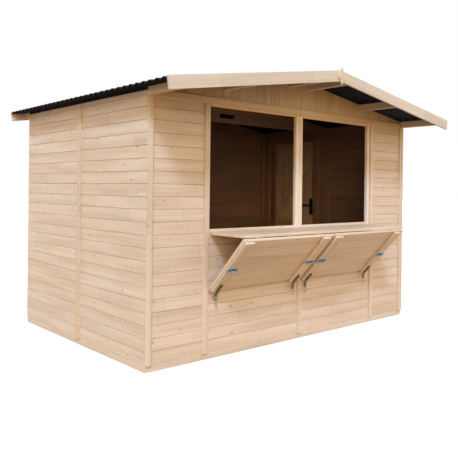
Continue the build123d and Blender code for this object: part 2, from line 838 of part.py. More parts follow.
# ---------------------------------------------------------------- export
pieces = {
    "base_rails_side": base_rails_side,
    "base_rails_cross": base_rails_cross,
    "front_panel_left": front_panel_left,
    "front_panel_right": front_panel_right,
    "front_panel_low_left": front_panel_low_left,
    "front_panel_low_right": front_panel_low_right,
    "left_panel_front": left_panel_front,
    "left_panel_rear": left_panel_rear,
    "right_panel_front": right_panel_front,
    "right_panel_lock_side": right_panel_lock_side,
    "right_panel_hinge_side": right_panel_hinge_side,
    "right_panel_over_door": right_panel_over_door,
    "back_panel_left": back_panel_left,
    "back_panel_middle": back_panel_middle,
    "back_panel_right": back_panel_right,
    "end_wall_posts": end_wall_posts,
    "long_wall_posts": long_wall_posts,
    "counter_posts": counter_posts,
    "wall_rails": wall_rails,
    "window_frame_left": window_frame_left,
    "window_frame_right": window_frame_right,
    "front_head_board": front_head_board,
    "front_battens": front_battens,
    "rear_battens": rear_battens,
    "counter_left": counter_left,
    "counter_right": counter_right,
    "flap_left": flap_left,
    "flap_right": flap_right,
    "flap_cleats": flap_cleats,
    "hatch_hinges": hatch_hinges,
    "barrel_bolts": barrel_bolts,
    "toggle_latches": toggle_latches,
    "eave_purlins": eave_purlins,
    "eave_seals": eave_seals,
    "middle_purlins": middle_purlins,
    "ridge_purlins": ridge_purlins,
    "front_gable": front_gable,
    "back_gable": back_gable,
    "gable_rails": gable_rails,
    "middle_truss": middle_truss,
    "roof_sheet_left": roof_sheet_left,
    "roof_sheet_right": roof_sheet_right,
    "ridge_cap": ridge_cap,
    "barge_boards_left": barge_boards_left,
    "barge_boards_right": barge_boards_right,
    "apex_plates": apex_plates,
    "door_leaf": door_leaf,
    "door_ledges": door_ledges,
    "door_braces": door_braces,
    "door_hinge_plates": door_hinge_plates,
    "door_hinge_straps": door_hinge_straps,
    "door_handle_plates": door_handle_plates,
    "door_levers": door_levers,
    "door_keeper": door_keeper,
}

os.makedirs("parts", exist_ok=True)
for name, piece in pieces.items():
    piece.part.label = name
    export_step(piece.part, f"parts/{name}.step")
    print(name, len(piece.part.solids()), "solids", round(piece.part.volume / 1000), "cm3")
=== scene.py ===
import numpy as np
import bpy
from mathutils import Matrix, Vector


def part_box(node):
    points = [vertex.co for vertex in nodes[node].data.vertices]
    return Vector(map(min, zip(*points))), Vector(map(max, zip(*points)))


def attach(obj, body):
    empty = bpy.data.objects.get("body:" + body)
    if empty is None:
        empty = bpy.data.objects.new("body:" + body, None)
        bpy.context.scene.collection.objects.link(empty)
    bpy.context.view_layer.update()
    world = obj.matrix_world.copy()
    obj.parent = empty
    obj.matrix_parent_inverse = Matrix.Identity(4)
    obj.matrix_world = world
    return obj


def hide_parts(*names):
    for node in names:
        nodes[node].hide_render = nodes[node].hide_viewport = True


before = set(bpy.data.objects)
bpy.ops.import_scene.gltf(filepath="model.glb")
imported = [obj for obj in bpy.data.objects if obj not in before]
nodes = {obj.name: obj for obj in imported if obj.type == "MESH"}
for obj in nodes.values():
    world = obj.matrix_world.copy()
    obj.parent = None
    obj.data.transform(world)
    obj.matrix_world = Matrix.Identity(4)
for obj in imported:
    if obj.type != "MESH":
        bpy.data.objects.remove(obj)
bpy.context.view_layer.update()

# %% [markdown]
# # A wooden market stall
# The stall is a shed of spruce boards under a low roof of corrugated bitumen sheet. Its joinery
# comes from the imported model. Here every piece gets its finish, and the plain wall panels give
# way to single boards with grain, knots and shadow joints. All lengths are in metres.

dice = np.random.default_rng(7)

# %% [markdown]
# ## Camera
# The stall is seen from its front left corner at chest height. The lens looks level, so upright
# edges stay upright, and a small shift brings the roof into the frame. FOCAL and SHIFT are
# counted in steps, of which FRAME_WIDE fit across the frame.

# %% Camera
EYE = Vector((-3.7968, -4.4296, 1.2778))
TURN = np.radians(41.1151)
ROLL = np.radians(0.6756)
FOCAL = 590.492
SHIFT = -40.572
FRAME_WIDE = 458
SENSOR = 36.0

forward = Vector((np.sin(TURN), np.cos(TURN), 0.0))
right = Vector((np.cos(TURN), -np.sin(TURN), 0.0))
up = right.cross(forward)
rolled_right = right * np.cos(ROLL) + up * np.sin(ROLL)
rolled_up = up * np.cos(ROLL) - right * np.sin(ROLL)

lens = bpy.data.cameras.new("stall_camera")
lens.sensor_width = SENSOR
lens.lens = SENSOR * FOCAL / FRAME_WIDE
lens.shift_y = SHIFT / FRAME_WIDE
camera = bpy.data.objects.new("stall_camera", lens)
bpy.context.scene.collection.objects.link(camera)
turned = Matrix((rolled_right, rolled_up, -forward)).transposed().to_4x4()
camera.matrix_world = Matrix.Translation(EYE) @ turned
bpy.context.scene.camera = camera
print("lens", round(lens.lens, 2), "mm")

# %% [markdown]
# ## From arrays to a piece
# A piece can be made with operators, with bmesh, or straight from arrays. Arrays are quick and
# exact, so every new piece here is a table of points and a table of faces.

# %% Piece maker
def make_piece(name, points, faces, material, body="stall", smooth=False, extra=None):
    """Mesh object from an array of points and lists of corner numbers; extra holds attributes."""
    mesh = bpy.data.meshes.new(name)
    faces = [list(map(int, face)) for face in faces]
    mesh.from_pydata(np.asarray(points, float).tolist(), [], faces)
    for key, values in (extra or {}).items():
        is_vector = np.ndim(values) == 2
        layer = mesh.attributes.new(key, "FLOAT_VECTOR" if is_vector else "FLOAT", "POINT")
        values = np.ravel(values).astype(np.float32)
        layer.data.foreach_set("vector" if is_vector else "value", values)
    mesh.polygons.foreach_set("use_smooth", np.full(len(mesh.polygons), smooth))
    mesh.materials.append(material)
    mesh.update()
    piece = bpy.data.objects.new(name, mesh)
    bpy.context.scene.collection.objects.link(piece)
    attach(piece, body)
    print(name, len(mesh.polygons), "faces")
    return piece

# %% [markdown]
# ## Planed spruce
# Spruce is pale, with narrow growth lines along the board, small brown knots, and finger joints
# where short lengths are glued end to end. A picture of wood would repeat, so the finish is
# worked out from three numbers at each point: how far along the board, how far across, how deep.

# %% Node helpers
def new_finish(name):
    """A new material, its node tree and its shader."""
    finish = bpy.data.materials.new(name)
    finish.use_nodes = True
    return finish, finish.node_tree, finish.node_tree.nodes["Principled BSDF"]


def add_node(tree, kind, **values):
    """New shader node; a key that names a socket sets it, any other key sets a property."""
    node = tree.nodes.new(kind)
    for key, value in values.items():
        if key in node.inputs:
            node.inputs[key].default_value = value
        else:
            setattr(node, key, value)
    return node


def sum_up(tree, operation, first, second=None, third=None, clamp=False):
    """Math node whose inputs are sockets or plain numbers."""
    node = add_node(tree, "ShaderNodeMath", operation=operation, use_clamp=clamp)
    for slot, value in zip(node.inputs, (first, second, third)):
        if value is None:
            continue
        if isinstance(value, (int, float)):
            slot.default_value = value
        else:
            tree.links.new(value, slot)
    return node.outputs[0]


def ramp(tree, value, gain, offset, clamp=False):
    """Value times gain, plus offset."""
    return sum_up(tree, "MULTIPLY_ADD", value, gain, offset, clamp)

# %% Places and patterns
def own_place(tree):
    """Where a point is, in the piece's own coordinates."""
    return add_node(tree, "ShaderNodeTexCoord").outputs["Object"]


def three_numbers(tree, vector):
    """The three numbers of a vector."""
    node = add_node(tree, "ShaderNodeSeparateXYZ")
    tree.links.new(vector, node.inputs[0])
    return tuple(node.outputs)


def stretch(tree, vector, along, across):
    """Scale a board coordinate: along the run, and both ways across it."""
    node = add_node(tree, "ShaderNodeMapping", Scale=(along, across, across))
    tree.links.new(vector, node.inputs["Vector"])
    return node.outputs[0]


def noise(tree, place, scale, detail, roughness=0.5):
    """Soft random pattern, from 0 to 1."""
    node = add_node(
        tree, "ShaderNodeTexNoise", Scale=scale, Detail=detail, Roughness=roughness
    )
    tree.links.new(place, node.inputs["Vector"])
    return node.outputs["Fac"]

# %% Colours and relief
def blend_colour(tree, share, first, second, mode="MIX"):
    """Mix node for colours; each colour is a socket or three numbers."""
    node = add_node(tree, "ShaderNodeMix", data_type="RGBA", blend_type=mode)
    for slot, value in ((node.inputs[0], share), (node.inputs[6], first), (node.inputs[7], second)):
        if isinstance(value, (int, float)):
            slot.default_value = value
        elif isinstance(value, tuple):
            slot.default_value = (*value, 1.0)
        else:
            tree.links.new(value, slot)
    return node.outputs[2]


def tinted(tree, colour, tint):
    """A colour multiplied by another."""
    return blend_colour(tree, 1.0, colour, tint, "MULTIPLY")


def add_bump(tree, shader, height, strength, distance):
    """Fine relief on a finish, distance high where height is 1."""
    node = add_node(tree, "ShaderNodeBump", Strength=strength, Distance=distance)
    tree.links.new(height, node.inputs["Height"])
    tree.links.new(node.outputs[0], shader.inputs["Normal"])

# %% Where a point is on its board
def board_place(tree, run, turn=0.0):
    """Vector (along, across, deep). Boards made here carry it as an attribute; for a model
    piece it is the run axis, then the sum and the difference of the other two. A piece that
    slopes is first turned level about the y axis."""
    if run == "own":
        return add_node(tree, "ShaderNodeAttribute", attribute_name="grain").outputs["Vector"]
    place = own_place(tree)
    if turn:
        tilt = add_node(tree, "ShaderNodeMapping", Rotation=(0.0, turn, 0.0))
        tree.links.new(place, tilt.inputs["Vector"])
        place = tilt.outputs[0]
    others = list(three_numbers(tree, place))
    along = others.pop("XYZ".index(run))
    join = add_node(tree, "ShaderNodeCombineXYZ")
    tree.links.new(along, join.inputs[0])
    tree.links.new(sum_up(tree, "ADD", *others), join.inputs[1])
    tree.links.new(sum_up(tree, "SUBTRACT", *others), join.inputs[2])
    return join.outputs[0]

# %% Growth lines
def growth(tree, place):
    """Three patterns: a slow change of tone, fine lines along the board, and the wide arches
    that a saw leaves where it cuts through the rings."""
    broad = noise(tree, stretch(tree, place, along=1.1, across=16.0), scale=1.0, detail=2.0)
    fine_place = stretch(tree, place, along=3.0, across=190.0)
    lines = noise(tree, fine_place, scale=1.0, detail=4.0, roughness=0.6)
    rings = add_node(
        tree, "ShaderNodeTexWave", bands_direction="Y", Scale=26.0, Distortion=7.0, Detail=2.0
    )
    rings.inputs["Detail Scale"].default_value = 0.6
    tree.links.new(stretch(tree, place, along=0.22, across=1.0), rings.inputs["Vector"])
    return broad, lines, rings.outputs["Fac"]

# %% Knots
LEAST_KNOT = 0.0004
KNOT_EDGE, PIN_EDGE, HALO_FALL = 1.25, 1.3, 0.36
PIN_COVER, PIN_BROWN = 0.75, (0.27, 0.135, 0.065)
HALO_COVER, HALO_BROWN = 0.45, (0.42, 0.25, 0.13)
KNOT_COVER, KNOT_BROWN = 0.80, (0.20, 0.098, 0.047)


def knot_reach(tree, place, scale, gain, offset):
    """Distance to the nearest knot's middle, over the size of that knot. Each cell of a Voronoi
    pattern draws a number. Its knot's size is that number times gain, plus offset, so where the
    number is low there is no knot to see."""
    cells = add_node(tree, "ShaderNodeTexVoronoi", voronoi_dimensions="2D", Scale=scale)
    tree.links.new(place, cells.inputs["Vector"])
    drawn = add_node(tree, "ShaderNodeSeparateColor")
    tree.links.new(cells.outputs["Color"], drawn.inputs[0])
    size = sum_up(tree, "MAXIMUM", ramp(tree, drawn.outputs[0], gain, offset), LEAST_KNOT)
    return sum_up(tree, "DIVIDE", cells.outputs["Distance"], size)


def knot_marks(tree, place, knots):
    """Pin knots in groups, then the brown halo round a knot, then the knot: for each one its
    pattern, how strongly it covers the wood, and its colour. A knot is full where its reach is
    1 below its edge, and fades to nothing at the edge."""
    warped = stretch(tree, place, along=0.8, across=1.0)
    reach = knot_reach(tree, warped, scale=6.2, gain=0.100 * knots, offset=-0.056 * knots)
    knot = sum_up(tree, "SUBTRACT", KNOT_EDGE, reach, clamp=True)
    halo = sum_up(tree, "SUBTRACT", 1.0, sum_up(tree, "MULTIPLY", reach, HALO_FALL), clamp=True)
    reach = knot_reach(tree, warped, scale=15.0, gain=0.24 * knots, offset=-0.125 * knots)
    pin = sum_up(tree, "SUBTRACT", PIN_EDGE, reach, clamp=True)
    cloud = noise(tree, place, scale=2.6, detail=1.0)
    groups = ramp(tree, cloud, gain=7.0, offset=-3.1, clamp=True)
    return (
        (sum_up(tree, "MULTIPLY", pin, groups), PIN_COVER, PIN_BROWN),
        (halo, HALO_COVER, HALO_BROWN),
        (knot, KNOT_COVER, KNOT_BROWN),
    )

# %% Finger joints
GLUED_LONG = 0.47
FINGER_WIDE, FINGER_SLANT = 0.0035, 1.6
GLUE_WIDE, GLUE_DARK = 0.006, 0.22
TONE_SPREAD = 0.09


def glued_tone(tree, place, own, joints):
    """Tone of a board's glued lengths, near 1, with a dark zigzag at each joint, and the number
    that each length draws. A length starts where the way along, over the length, passes a whole
    number; the way across, folded back and forth, pushes that place to make the fingers."""
    along, across, _ = three_numbers(tree, place)
    finger = sum_up(tree, "PINGPONG", across, FINGER_WIDE)
    step = ramp(tree, finger, FINGER_SLANT, sum_up(tree, "MULTIPLY", along, 1.0 / GLUED_LONG))
    seed = add_node(tree, "ShaderNodeCombineXYZ")
    tree.links.new(sum_up(tree, "FLOOR", step), seed.inputs[0])
    if own:
        board = add_node(tree, "ShaderNodeAttribute", attribute_name="board").outputs["Fac"]
        tree.links.new(board, seed.inputs[1])
    dots = add_node(tree, "ShaderNodeTexWhiteNoise", noise_dimensions="2D")
    tree.links.new(seed.outputs[0], dots.inputs["Vector"])
    drawn = dots.outputs["Value"]
    tone = ramp(tree, drawn, TONE_SPREAD * joints, 1.0 - 0.5 * TONE_SPREAD * joints)
    glue = sum_up(tree, "LESS_THAN", sum_up(tree, "FRACT", step), GLUE_WIDE * joints)
    return sum_up(tree, "SUBTRACT", tone, sum_up(tree, "MULTIPLY", glue, GLUE_DARK)), drawn

# %% [markdown]
# ## Painted shade on the wood
# Boards high on the front, under the deep overhang, look yellower, and the room looks dark brown.
# Soft light alone leaves both too pale, so shade is painted into the colour: yellower and darker
# wood high on the front, and darker wood between the walls. These could be finishes of their own,
# but a board shows on both sides of a wall, so each finish looks at where the point stands instead.

# %% Painted shade on the wood
ROOM_HALF = (1.545, 0.995)
FADE_LOW, FADE_HIGH = 1.70, 1.90
FRONT_Y, FRONT_NEAR = -1.045, 0.062
# OVERHANG_SHADE_TINT paints the shade under the front overhang.
OVERHANG_SHADE_TINT = (0.92, 0.81, 0.58)
# ROOM_SHADE_TINT, ROOM_RED and ROOM_DARK paint the shade inside the room.
ROOM_SHADE_TINT = (0.42, 0.32, 0.27)
ROOM_RED, ROOM_DARK = (1.34, 1.18, 1.08), (0.62, 0.60, 0.58)


def nearer_than(tree, value, limit):
    """1 where a number lies within the limit on either side of 0, else 0."""
    return sum_up(tree, "LESS_THAN", sum_up(tree, "ABSOLUTE", value), limit)


def between_walls(tree, half):
    """1 where a point lies inside a plan of that half length and half depth, else 0."""
    x, y, _ = three_numbers(tree, own_place(tree))
    return sum_up(tree, "MULTIPLY", nearer_than(tree, x, half[0]), nearer_than(tree, y, half[1]))


def painted_overhang_shade(tree, colour):
    """Painted shade high on the front wall, under the overhang: yellower, darker wood, none up to
    FADE_LOW, and full from FADE_HIGH.
    """
    _, y, z = three_numbers(tree, own_place(tree))
    gain = 1.0 / (FADE_HIGH - FADE_LOW)
    high_up = ramp(tree, z, gain, offset=-gain * FADE_LOW, clamp=True)
    front = nearer_than(tree, sum_up(tree, "ADD", y, -FRONT_Y), FRONT_NEAR)
    share = sum_up(tree, "MULTIPLY", high_up, front)
    return blend_colour(tree, share, colour, tinted(tree, colour, OVERHANG_SHADE_TINT))


def painted_room_shade(tree, colour, room_shade, broad, drawn):
    """Painted shade inside the walls: wood multiplied by the room's shade tint, in redder and
    darker patches.
    """
    offset = ramp(tree, drawn, gain=0.14, offset=-0.52)
    patch = ramp(tree, broad, gain=1.9, offset=offset, clamp=True)
    red, dark = (tuple(a * b for a, b in zip(tone, room_shade)) for tone in (ROOM_RED, ROOM_DARK))
    dull = tinted(tree, colour, blend_colour(tree, patch, dark, red))
    return blend_colour(tree, between_walls(tree, ROOM_HALF), colour, dull)

# %% Spruce finish
PALE, DEEP = (0.70, 0.555, 0.415), (0.56, 0.395, 0.25)


def spruce(name, run="own", turn=0.0, pale=PALE, deep=DEEP, knots=1.0, joints=1.0, room_shade=ROOM_SHADE_TINT):
    """Spruce: growth lines between a pale and a deep tone, then knots and glued lengths, then
    painted shade high on the front and inside the walls, with bump from the lines."""
    finish, tree, shader = new_finish(name)
    place = board_place(tree, run, turn)
    broad, lines, rings = growth(tree, place)
    share = ramp(tree, broad, gain=1.9, offset=-0.62)
    share = ramp(tree, lines, gain=0.95, offset=sum_up(tree, "ADD", share, -0.47))
    share = ramp(tree, rings, gain=0.20, offset=share, clamp=True)
    colour = blend_colour(tree, share, pale, deep)
    for mark, cover, brown in knot_marks(tree, place, knots):
        colour = blend_colour(tree, sum_up(tree, "MULTIPLY", mark, cover), colour, brown)

    tone, drawn = glued_tone(tree, place, run == "own", joints)
    grey = add_node(tree, "ShaderNodeCombineColor")
    for slot in grey.inputs:
        tree.links.new(tone, slot)
    colour = tinted(tree, colour, grey.outputs[0])
    # Painted shade: yellower and darker wood high on the front, under the overhang.
    if run == "own":
        colour = painted_overhang_shade(tree, colour)
    # Painted shade: darker, redder wood between the walls.
    if room_shade:
        colour = painted_room_shade(tree, colour, room_shade, broad, drawn)
    tree.links.new(colour, shader.inputs["Base Color"])
    tree.links.new(ramp(tree, lines, gain=0.25, offset=0.45), shader.inputs["Roughness"])
    relief = ramp(tree, rings, gain=0.4, offset=lines)
    add_bump(tree, shader, relief, strength=0.35, distance=0.0006)
    return finish

# %% Kinds of spruce
# A lighter painted room shade for the door and its braces.
DOOR_ROOM_SHADE = (0.86, 0.80, 0.76)

wood = spruce("spruce_boards")
wood_x = spruce("spruce_along_x", "X")
wood_y = spruce("spruce_along_y", "Y")
wood_z = spruce("spruce_along_z", "Z")
wood_plain = spruce("spruce_timber", knots=0.8, joints=0.8)
wood_frame = spruce(
    "spruce_frames", pale=(0.80, 0.67, 0.53), deep=(0.65, 0.48, 0.32),
    knots=0.5, joints=0.0, room_shade=None,
)
wood_door = spruce("spruce_door", room_shade=DOOR_ROOM_SHADE)
wood_brace = spruce("spruce_braces", "Z", room_shade=DOOR_ROOM_SHADE)
wood_shelf = spruce(
    "spruce_shelf", pale=(0.75, 0.565, 0.405), deep=(0.60, 0.41, 0.25), knots=0.8
)
print("spruce finishes", sum("spruce" in finish.name for finish in bpy.data.materials))

# %% [markdown]
# ## Boards
# A wall is a stack of boards that meet in a small V. One box per wall would have no joints, so
# each board is a section with two bevelled corners, carried along its run. That makes it a tube:
# rings of points, with quads between them and a cap on each end. Domes and wires will be tubes
# too. All the boards of a wall are worked out at once and kept in one mesh.

# %% Faces of a tube
def tube_faces(rings, sides):
    """Quads from each ring of points to the next, then a cap on the first ring and the last."""
    ring = np.arange(sides)
    following = (ring + 1) % sides
    quad = np.stack((ring, following, following + sides, ring + sides), axis=1)
    quads = quad + sides * np.arange(rings - 1)[:, None, None]
    caps = [ring[::-1].tolist(), (ring + sides * (rings - 1)).tolist()]
    return quads.reshape(-1, 4).tolist() + caps


def moved_on(faces, step):
    """The same faces for points that stand further down the table."""
    return [[number + step for number in face] for face in faces]

# %% Board maker
SLOT_DEEP = 0.007
MOST_BEVEL = 0.3
GRAIN_ROOM, BOARD_NUMBERS = 40, 50


def board_section(tall, thick, bevel, slot, both):
    """Section of each board, as a table of across and one of deep. It touches its neighbours at
    the back, steps in by the slot SLOT_DEEP before the face, and has two bevelled corners in
    front, and two at the back as well if both is set. A bevel takes no more than MOST_BEVEL of
    the board's thinner side."""
    b = np.minimum(bevel, MOST_BEVEL * np.minimum(tall, thick))
    zero = np.zeros_like(tall)
    gap = zero + slot
    back = b if both else zero
    step = thick - np.minimum(SLOT_DEEP, 0.5 * thick)
    across = (
        zero, zero, gap, gap, gap + b, tall - gap - b,
        tall - gap, tall - gap, tall, tall, tall - back, back,
    )
    deep = (
        back, step, step, thick - b, thick, thick,
        thick - b, step, step, back, zero, zero,
    )
    return np.hstack(across), np.hstack(deep)


def make_boards(
    name, starts, runs, ups, outs, material, replaces=(), body="stall",
    bevel=0.0020, slot=0.0011, cut=None, both=False,
):
    """Boards as swept sections. Each point is start + a run, then b along up and c along out,
    with a 0 or 1 and (b, c) taken round the section. A run, an up or an out that is given once
    serves every board. cut gives, for each board, how much longer its run is at the far side of
    the section. Each board takes its grain from its own random place, so no two look alike."""
    rows = (np.atleast_2d(np.asarray(row, float)) for row in (starts, runs, ups, outs))
    starts, runs, ups, outs = np.broadcast_arrays(*rows)
    count = len(starts)
    long, tall, thick = (np.linalg.norm(row, axis=1)[:, None] for row in (runs, ups, outs))
    across, deep = board_section(tall, thick, bevel, slot, both)
    sides = across.shape[1]
    near = (
        starts[:, None, :]
        + (ups / tall)[:, None, :] * across[:, :, None]
        + (outs / thick)[:, None, :] * deep[:, :, None]
    )
    extra = np.zeros_like(across)
    if cut is not None:
        extra = np.asarray(cut, float)[:, None] * across / tall
    far = near + (runs / long)[:, None, :] * (long + extra)[:, :, None]
    points = np.concatenate((near, far), axis=1).reshape(-1, 3)

    tube = tube_faces(2, sides)
    flipped = [face[::-1] for face in tube]
    handed = np.einsum("ij,ij->i", np.cross(runs, ups), outs) > 0
    faces = []
    for k in range(count):
        faces += moved_on(flipped if handed[k] else tube, 2 * sides * k)

    shift = dice.uniform(0, GRAIN_ROOM, (count, 3))
    along = np.hstack((np.zeros_like(across), long + extra))
    grain = np.stack((along, np.hstack((across, across)), np.hstack((deep, deep))), axis=2)
    grain = (grain + shift[:, None, :]).reshape(-1, 3)
    board = np.repeat(dice.uniform(0, BOARD_NUMBERS, count), 2 * sides)
    extras = {"grain": grain, "board": board}
    piece = make_piece(name, points, faces, material, body, extra=extras)
    if replaces:
        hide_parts(*replaces)

# %% [markdown]
# ## Walls
# The joints of all walls run level round the building, so their heights come from one pitch. A
# panel's first and last board are cut to what is left over, and a leftover too thin to be a board
# is joined to its neighbour.

# %% Wall boards
PITCH = 0.0895
BASE = 0.05
THICK = 0.016
LEFTOVER = 0.012
MOST_ROWS = 40
FRONT, LEFT, RIGHT, BACK = (0, -1, 0), (-1, 0, 0), (1, 0, 0), (0, 1, 0)


def corners(node):
    """Lowest and highest corner of a model piece, as arrays."""
    return tuple(np.array(corner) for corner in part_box(node))


def wall_rows(low, high):
    """Lowest and highest edge of each board between two heights."""
    joints = BASE + PITCH * np.arange(1, MOST_ROWS)
    joints = joints[(joints > low + LEFTOVER) & (joints < high - LEFTOVER)]
    edges = np.concatenate(([low], joints, [high]))
    return edges[:-1], edges[1:]


def clad(node, out):
    """Replace a wall panel by its boards; out is the direction that the wall faces."""
    low, high = corners(node)
    rows_low, rows_high = wall_rows(low[2], high[2])
    out = np.array(out, float)
    axis = 1 if out[0] else 0
    run = np.zeros(3)
    run[axis] = high[axis] - low[axis]
    start = np.where(out > 0, high - THICK, np.where(out < 0, low + THICK, low))
    starts = np.repeat(start[None, :], len(rows_low), axis=0)
    starts[:, 2] = rows_low
    ups = (rows_high - rows_low)[:, None] * (0, 0, 1)
    make_boards("boards_" + node, starts, run, ups, THICK * out, wood, (node,))


for out, panels in (
    (FRONT, ("front_panel_left", "front_panel_right")),
    (FRONT, ("front_panel_low_left", "front_panel_low_right")),
    (LEFT, ("left_panel_front", "left_panel_rear")),
    (RIGHT, ("right_panel_front", "right_panel_lock_side")),
    (RIGHT, ("right_panel_hinge_side", "right_panel_over_door")),
    (BACK, ("back_panel_left", "back_panel_middle", "back_panel_right")),
):
    for node in panels:
        clad(node, out)

# %% [markdown]
# ## Door leaf
# The door is made of upright boards. They ride on the door, so they swing with its ledges.

# %% Door boards
def side_by_side(low, high, count):
    """Starts and width of equal boards that fill a box, laid side by side along y."""
    wide = (high[1] - low[1]) / count
    starts = np.tile(low, (count, 1))
    starts[:, 1] += wide * np.arange(count)
    return starts, wide


low, high = corners("door_leaf")
starts, wide = side_by_side(low, high, round((high[1] - low[1]) / PITCH))
run, up, out = (0, 0, high[2] - low[2]), (0, wide, 0), (THICK, 0, 0)
make_boards("door_boards", starts, run, up, out, wood_door, ("door_leaf",), "door")

# %% [markdown]
# ## Counter and flaps
# Each counter shelf is four planed boards side by side. The flap under it is a leaf of boards
# that leans back to the wall. Its lean isn't measured: it follows from the size of the packed
# piece. A leaning leaf is (long sin + thick cos) deep and (long cos + thick sin) high, which
# gives two equations for the sine and the cosine.

# %% Counter boards
COUNTER_BOARDS = 4

for node in ("counter_left", "counter_right"):
    low, high = corners(node)
    starts, wide = side_by_side(low, high, COUNTER_BOARDS)
    run, up, out = (high[0] - low[0], 0, 0), (0, wide, 0), (0, 0, high[2] - low[2])
    make_boards(
        "boards_" + node, starts, run, up, out, wood_shelf, (node,),
        bevel=0.0012, slot=0.0003, both=True,
    )

# %% The lean of a flap
FLAP_LONG, FLAP_THICK = 0.539, 0.024

low, high = corners("flap_left")
span_y, span_z = high[1] - low[1], high[2] - low[2]
scale = FLAP_LONG**2 - FLAP_THICK**2
lean_sin = (FLAP_LONG * span_y - FLAP_THICK * span_z) / scale
lean_cos = (FLAP_LONG * span_z - FLAP_THICK * span_y) / scale
flap_up = np.array((0, -lean_sin, lean_cos))
flap_out = np.array((0, -lean_cos, -lean_sin))
print("flap lean", round(float(np.degrees(np.arcsin(lean_sin))), 2), "degrees")

# %% Flap boards
FLAP_BOARDS = 6

edges = np.append(PITCH * np.arange(FLAP_BOARDS), FLAP_LONG)
ups = flap_up * np.diff(edges)[:, None]
for node in ("flap_left", "flap_right"):
    low, high = corners(node)
    foot = np.array((low[0], high[1], low[2] + FLAP_THICK * lean_sin))
    starts = foot + flap_up * edges[:-1, None]
    run, out = (high[0] - low[0], 0, 0), flap_out * FLAP_THICK
    make_boards("boards_" + node, starts, run, ups, out, wood, (node,), both=True)

# %% [markdown]
# ## Window frames
# Four square pieces make a frame: the stiles run full height and the rails fit between them. The
# two frames meet at the middle of the front, where their broad stiles stand.

# %% Window frames
NARROW, BROAD = 0.035, 0.042
SILL, HEAD = 0.035, 0.027
ROUNDED = {"bevel": 0.004, "slot": 0.0008, "both": True}

for node, left, right in (
    ("window_frame_left", NARROW, BROAD),
    ("window_frame_right", BROAD, NARROW),
):
    low, high = corners(node)
    tall, inside = high[2] - low[2], high[0] - low[0] - left - right
    out = (0, low[1] - high[1], 0)
    starts = [(low[0], high[1], low[2]), (high[0] - right, high[1], low[2])]
    ups = [(left, 0, 0), (right, 0, 0)]
    make_boards(
        "stiles_" + node, starts, (0, 0, tall), ups, out, wood_frame, (node,), **ROUNDED
    )
    starts = [(low[0] + left, high[1], z) for z in (low[2], high[2] - HEAD)]
    ups = [(0, 0, SILL), (0, 0, HEAD)]
    make_boards("rails_" + node, starts, (inside, 0, 0), ups, out, wood_shelf, **ROUNDED)

# %% [markdown]
# ## Square timber
# Posts, rails and battens are plain sticks in the model. A node that holds several sticks is split
# into its loose solids; each gives a box, and the box gives a new stick with a soft arris and
# grain along its length. Sharp edges look unreal, because a planed edge always catches light.

# %% Sticks from boxes
ARRIS = 0.0018
DECIMALS = 5


def solid_boxes(node):
    """Low and high corner of each loose solid of a node: vertices that agree to DECIMALS are
    one, and the smallest number spreads along the edges until nothing changes."""
    mesh = nodes[node].data
    points = np.empty(3 * len(mesh.vertices))
    mesh.vertices.foreach_get("co", points)
    world = np.array(nodes[node].matrix_world)
    points = points.reshape(-1, 3) @ world[:3, :3].T + world[:3, 3]
    unique, index = np.unique(
        np.round(points, DECIMALS), axis=0, return_inverse=True
    )
    edges = np.empty(2 * len(mesh.edges), int)
    mesh.edges.foreach_get("vertices", edges)
    ends = np.ravel(index)[edges].reshape(-1, 2)
    label = np.arange(len(unique))
    while True:
        lowest = np.minimum(label[ends[:, 0]], label[ends[:, 1]])
        spread = label.copy()
        np.minimum.at(spread, ends[:, 0], lowest)
        np.minimum.at(spread, ends[:, 1], lowest)
        if (spread == label).all():
            break
        label = spread
    solids = (unique[label == number] for number in np.unique(label))
    return [(solid.min(axis=0), solid.max(axis=0)) for solid in solids]


def sticks(node, material, body="stall", both=False):
    """Replace a node by one stick for each solid. The run is the longest side, out the
    shortest, away from the middle of the building."""
    starts, runs, ups, outs = [], [], [], []
    for low, high in solid_boxes(node):
        size = high - low
        run_axis, out_axis = int(np.argmax(size)), int(np.argmin(size))
        up_axis = 3 - run_axis - out_axis
        sign = 1.0 if (low + high)[out_axis] > 0 else -1.0
        start = low.copy()
        if sign < 0:
            start[out_axis] = high[out_axis]
        sides = np.diag(size)
        starts.append(start)
        runs.append(sides[run_axis])
        ups.append(sides[up_axis])
        outs.append(sides[out_axis] * sign)
    make_boards(
        "sticks_" + node, starts, runs, ups, outs, material, (node,), body,
        bevel=ARRIS, slot=0.0, both=both,
    )


for node in ("front_battens", "rear_battens", "front_head_board"):
    sticks(node, wood_plain)
for node in (
    "base_rails_side", "base_rails_cross", "end_wall_posts", "long_wall_posts",
    "counter_posts", "wall_rails", "gable_rails",
):
    sticks(node, wood_plain, both=True)
sticks("door_ledges", wood_door, "door", both=True)

# %% [markdown]
# ## Flap cleats
# A cleat stiffens each end of a flap and carries its toggle. It lies on the flap's face and leans
# with it, so its box tells only where it stands: length and thickness are given, and the lean is
# the flap's own.

# %% Flap cleats
CLEAT_LONG, CLEAT_THICK = 0.530, 0.020

cleats = solid_boxes("flap_cleats")
starts = [(low[0], high[1], low[2] + CLEAT_THICK * lean_sin) for low, high in cleats]
ups = [(high[0] - low[0], 0, 0) for low, high in cleats]
make_boards(
    "cleat_boards", starts, flap_up * CLEAT_LONG, ups, flap_out * CLEAT_THICK,
    wood_plain, ("flap_cleats",), bevel=0.005, slot=0.0, both=True,
)

# %% [markdown]
# ## Gables
# Upright boards fill the low triangle over each long wall. Each board's head is cut to the roof
# slope, so its run is longer on the side towards the ridge.

# %% Gable boards
TILT = np.radians(8.87)
SLOPE = float(np.tan(TILT))
GABLE_PITCH = 0.088

